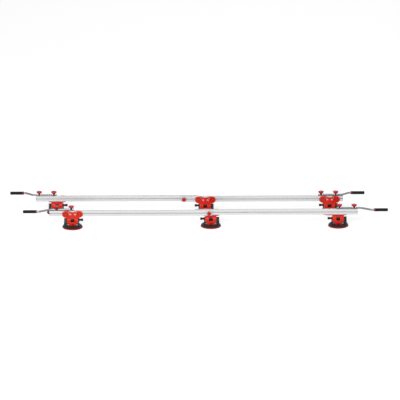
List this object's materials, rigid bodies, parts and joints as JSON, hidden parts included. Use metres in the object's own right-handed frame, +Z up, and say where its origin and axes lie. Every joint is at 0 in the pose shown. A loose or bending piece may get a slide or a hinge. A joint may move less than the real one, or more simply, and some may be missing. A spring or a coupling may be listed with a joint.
{
  "type": "large tile carrying frame",
  "caption": "Pair of extendable aluminium bars with sliding suction cups and cranked end handles, for lifting and carrying large tiles.",
  "frame": {"origin": "on the floor under the middle of the frame's box", "axes": "+X along the bars, +Z up, -Y to the front bar"},
  "size_m": [3.715, 0.6694, 0.219],
  "materials": {
    "anodised_profile": "satin",
    "red_knob": "gloss",
    "plated_bar": "zinc plated",
    "black_grip": "matt",
    "red_casting": "powder coat",
    "plated_bolt": "zinc plated",
    "black_moulding": "satin",
    "red_rubber": "matt",
    "black_plunger": "satin"
  },
  "bodies": {
    "front_left_bar": {"rail_front_left": "anodised_profile"},
    "front_left_lap_knob": {"lap_knob_front_left": "red_knob"},
    "front_left_handle": {"handle_bar_front_left": "plated_bar", "grip_front_left": "black_grip"},
    "front_left_handle_knob_outer": {"handle_knob_front_left_outer": "red_knob"},
    "front_left_handle_knob_inner": {"handle_knob_front_left_inner": "red_knob"},
    "front_right_bar": {"rail_front_right": "anodised_profile"},
    "front_right_lap_knob": {"lap_knob_front_right": "red_knob"},
    "front_right_handle": {"handle_bar_front_right": "plated_bar", "grip_front_right": "black_grip"},
    "front_right_handle_knob_outer": {"handle_knob_front_right_outer": "red_knob"},
    "front_right_handle_knob_inner": {"handle_knob_front_right_inner": "red_knob"},
    "front_left_carriage": {"carriage_front_left": "red_casting", "pinch_bolt_front_left": "plated_bolt", "cup_frame_front_left": "black_moulding", "suction_pad_front_left": "red_rubber"},
    "front_left_plunger": {"pump_plunger_front_left": "black_plunger"},
    "front_left_lever": {"release_lever_front_left": "black_moulding"},
    "front_middle_carriage": {"carriage_front_middle": "red_casting", "pinch_bolt_front_middle": "plated_bolt", "cup_frame_front_middle": "black_moulding", "suction_pad_front_middle": "red_rubber"},
    "front_middle_plunger": {"pump_plunger_front_middle": "black_plunger"},
    "front_middle_lever": {"release_lever_front_middle": "black_moulding"},
    "front_right_carriage": {"carriage_front_right": "red_casting", "pinch_bolt_front_right": "plated_bolt", "cup_frame_front_right": "black_moulding", "suction_pad_front_right": "red_rubber"},
    "front_right_plunger": {"pump_plunger_front_right": "black_plunger"},
    "front_right_lever": {"release_lever_front_right": "black_moulding"},
    "rear_left_bar": {"rail_rear_left": "anodised_profile"},
    "rear_left_lap_knob": {"lap_knob_rear_left": "red_knob"},
    "rear_left_handle": {"handle_bar_rear_left": "plated_bar", "grip_rear_left": "black_grip"},
    "rear_left_handle_knob_outer": {"handle_knob_rear_left_outer": "red_knob"},
    "rear_left_handle_knob_inner": {"handle_knob_rear_left_inner": "red_knob"},
    "rear_right_bar": {"rail_rear_right": "anodised_profile"},
    "rear_right_lap_knob": {"lap_knob_rear_right": "red_knob"},
    "rear_right_handle": {"handle_bar_rear_right": "plated_bar", "grip_rear_right": "black_grip"},
    "rear_right_handle_knob_outer": {"handle_knob_rear_right_outer": "red_knob"},
    "rear_right_handle_knob_inner": {"handle_knob_rear_right_inner": "red_knob"},
    "rear_left_carriage": {"carriage_rear_left": "red_casting", "pinch_bolt_rear_left": "plated_bolt", "cup_frame_rear_left": "black_moulding", "suction_pad_rear_left": "red_rubber"},
    "rear_left_plunger": {"pump_plunger_rear_left": "black_plunger"},
    "rear_left_lever": {"release_lever_rear_left": "black_moulding"},
    "rear_middle_carriage": {"carriage_rear_middle": "red_casting", "pinch_bolt_rear_middle": "plated_bolt", "cup_frame_rear_middle": "black_moulding", "suction_pad_rear_middle": "red_rubber"},
    "rear_middle_plunger": {"pump_plunger_rear_middle": "black_plunger"},
    "rear_middle_lever": {"release_lever_rear_middle": "black_moulding"},
    "rear_right_carriage": {"carriage_rear_right": "red_casting", "pinch_bolt_rear_right": "plated_bolt", "cup_frame_rear_right": "black_moulding", "suction_pad_rear_right": "red_rubber"},
    "rear_right_plunger": {"pump_plunger_rear_right": "black_plunger"},
    "rear_right_lever": {"release_lever_rear_right": "black_moulding"}
  },
  "joints": [
    {"name": "front_left_lap_knob_turn", "type": "hinge", "parent": "front_left_bar", "child": "front_left_lap_knob", "pos_m": [0.0995, -0.2337, 0.1455], "axis": [0, -1, 0], "continuous": true},
    {"name": "front_left_handle_slide", "type": "slide", "parent": "front_left_bar", "child": "front_left_handle", "axis": [1, 0, 0], "range_m": [-0.05, 0.25]},
    {"name": "front_left_handle_knob_outer_turn", "type": "hinge", "parent": "front_left_handle", "child": "front_left_handle_knob_outer", "pos_m": [-1.3985, -0.2337, 0.173], "axis": [0, 0, 1], "continuous": true},
    {"name": "front_left_handle_knob_inner_turn", "type": "hinge", "parent": "front_left_handle", "child": "front_left_handle_knob_inner", "pos_m": [-1.2545, -0.2337, 0.173], "axis": [0, 0, 1], "continuous": true},
    {"name": "front_bar_extend", "type": "slide", "parent": "front_left_bar", "child": "front_right_bar", "axis": [1, 0, 0], "range_m": [-0.6, 0.06]},
    {"name": "front_right_lap_knob_turn", "type": "hinge", "parent": "front_right_bar", "child": "front_right_lap_knob", "pos_m": [-0.0085, -0.2113, 0.1455], "axis": [0, 1, 0], "continuous": true},
    {"name": "front_right_handle_slide", "type": "slide", "parent": "front_right_bar", "child": "front_right_handle", "axis": [1, 0, 0], "range_m": [-0.25, 0.015]},
    {"name": "front_right_handle_knob_outer_turn", "type": "hinge", "parent": "front_right_handle", "child": "front_right_handle_knob_outer", "pos_m": [1.5265, -0.2113, 0.173], "axis": [0, 0, 1], "continuous": true},
    {"name": "front_right_handle_knob_inner_turn", "type": "hinge", "parent": "front_right_handle", "child": "front_right_handle_knob_inner", "pos_m": [1.3825, -0.2113, 0.173], "axis": [0, 0, 1], "continuous": true},
    {"name": "front_left_carriage_slide", "type": "slide", "parent": "front_left_bar", "child": "front_left_carriage", "axis": [1, 0, 0], "range_m": [-0.12, 0.35]},
    {"name": "front_left_pump_stroke", "type": "slide", "parent": "front_left_carriage", "child": "front_left_plunger", "axis": [-1, 0, 0], "range_m": [0, 0.016], "stiffness_N_per_m": 400},
    {"name": "front_left_release", "type": "hinge", "parent": "front_left_carriage", "child": "front_left_lever", "pos_m": [-1.3215, -0.2337, 0.04], "axis": [0, -1, 0], "range_deg": [0, 25], "stiffness_Nm_per_rad": 0.2},
    {"name": "front_middle_carriage_slide", "type": "slide", "parent": "front_right_bar", "child": "front_middle_carriage", "axis": [1, 0, 0], "range_m": [-0.002, 0.45]},
    {"name": "front_middle_pump_stroke", "type": "slide", "parent": "front_middle_carriage", "child": "front_middle_plunger", "axis": [1, 0, 0], "range_m": [0, 0.016], "stiffness_N_per_m": 400},
    {"name": "front_middle_release", "type": "hinge", "parent": "front_middle_carriage", "child": "front_middle_lever", "pos_m": [0.1965, -0.2113, 0.04], "axis": [0, 1, 0], "range_deg": [0, 25], "stiffness_Nm_per_rad": 0.2},
    {"name": "front_right_carriage_slide", "type": "slide", "parent": "front_right_bar", "child": "front_right_carriage", "axis": [1, 0, 0], "range_m": [-0.45, 0.08]},
    {"name": "front_right_pump_stroke", "type": "slide", "parent": "front_right_carriage", "child": "front_right_plunger", "axis": [1, 0, 0], "range_m": [0, 0.016], "stiffness_N_per_m": 400},
    {"name": "front_right_release", "type": "hinge", "parent": "front_right_carriage", "child": "front_right_lever", "pos_m": [1.4495, -0.2113, 0.04], "axis": [0, 1, 0], "range_deg": [0, 25], "stiffness_Nm_per_rad": 0.2},
    {"name": "bar_spacing", "type": "slide", "parent": "front_left_bar", "child": "rear_left_bar", "axis": [0, 1, 0], "range_m": [-0.1, 0.5]},
    {"name": "rear_left_lap_knob_turn", "type": "hinge", "parent": "rear_left_bar", "child": "rear_left_lap_knob", "pos_m": [-0.0355, 0.2337, 0.1455], "axis": [0, 1, 0], "continuous": true},
    {"name": "rear_left_handle_slide", "type": "slide", "parent": "rear_left_bar", "child": "rear_left_handle", "axis": [1, 0, 0], "range_m": [-0.015, 0.25]},
    {"name": "rear_left_handle_knob_outer_turn", "type": "hinge", "parent": "rear_left_handle", "child": "rear_left_handle_knob_outer", "pos_m": [-1.5705, 0.2337, 0.173], "axis": [0, 0, 1], "continuous": true},
    {"name": "rear_left_handle_knob_inner_turn", "type": "hinge", "parent": "rear_left_handle", "child": "rear_left_handle_knob_inner", "pos_m": [-1.4265, 0.2337, 0.173], "axis": [0, 0, 1], "continuous": true},
    {"name": "rear_bar_extend", "type": "slide", "parent": "rear_left_bar", "child": "rear_right_bar", "axis": [1, 0, 0], "range_m": [-0.6, 0.06]},
    {"name": "rear_right_lap_knob_turn", "type": "hinge", "parent": "rear_right_bar", "child": "rear_right_lap_knob", "pos_m": [-0.1435, 0.2113, 0.1455], "axis": [0, -1, 0], "continuous": true},
    {"name": "rear_right_handle_slide", "type": "slide", "parent": "rear_right_bar", "child": "rear_right_handle", "axis": [1, 0, 0], "range_m": [-0.25, 0.05]},
    {"name": "rear_right_handle_knob_outer_turn", "type": "hinge", "parent": "rear_right_handle", "child": "rear_right_handle_knob_outer", "pos_m": [1.3545, 0.2113, 0.173], "axis": [0, 0, 1], "continuous": true},
    {"name": "rear_right_handle_knob_inner_turn", "type": "hinge", "parent": "rear_right_handle", "child": "rear_right_handle_knob_inner", "pos_m": [1.2105, 0.2113, 0.173], "axis": [0, 0, 1], "continuous": true},
    {"name": "rear_left_carriage_slide", "type": "slide", "parent": "rear_left_bar", "child": "rear_left_carriage", "axis": [1, 0, 0], "range_m": [-0.1, 0.35]},
    {"name": "rear_left_pump_stroke", "type": "slide", "parent": "rear_left_carriage", "child": "rear_left_plunger", "axis": [-1, 0, 0], "range_m": [0, 0.016], "stiffness_N_per_m": 400},
    {"name": "rear_left_release", "type": "hinge", "parent": "rear_left_carriage", "child": "rear_left_lever", "pos_m": [-1.4745, 0.2337, 0.04], "axis": [0, -1, 0], "range_deg": [0, 25], "stiffness_Nm_per_rad": 0.2},
    {"name": "rear_middle_carriage_slide", "type": "slide", "parent": "rear_right_bar", "child": "rear_middle_carriage", "axis": [1, 0, 0], "range_m": [-0.08, 0.4]},
    {"name": "rear_middle_pump_stroke", "type": "slide", "parent": "rear_middle_carriage", "child": "rear_middle_plunger", "axis": [1, 0, 0], "range_m": [0, 0.016], "stiffness_N_per_m": 400},
    {"name": "rear_middle_release", "type": "hinge", "parent": "rear_middle_carriage", "child": "rear_middle_lever", "pos_m": [0.1465, 0.2113, 0.04], "axis": [0, 1, 0], "range_deg": [0, 25], "stiffness_Nm_per_rad": 0.2},
    {"name": "rear_right_carriage_slide", "type": "slide", "parent": "rear_right_bar", "child": "rear_right_carriage", "axis": [1, 0, 0], "range_m": [-0.45, 0.025]},
    {"name": "rear_right_pump_stroke", "type": "slide", "parent": "rear_right_carriage", "child": "rear_right_plunger", "axis": [1, 0, 0], "range_m": [0, 0.016], "stiffness_N_per_m": 400},
    {"name": "rear_right_release", "type": "hinge", "parent": "rear_right_carriage", "child": "rear_right_lever", "pos_m": [1.3735, 0.2113, 0.04], "axis": [0, 1, 0], "range_deg": [0, 25], "stiffness_Nm_per_rad": 0.2}
  ]
}
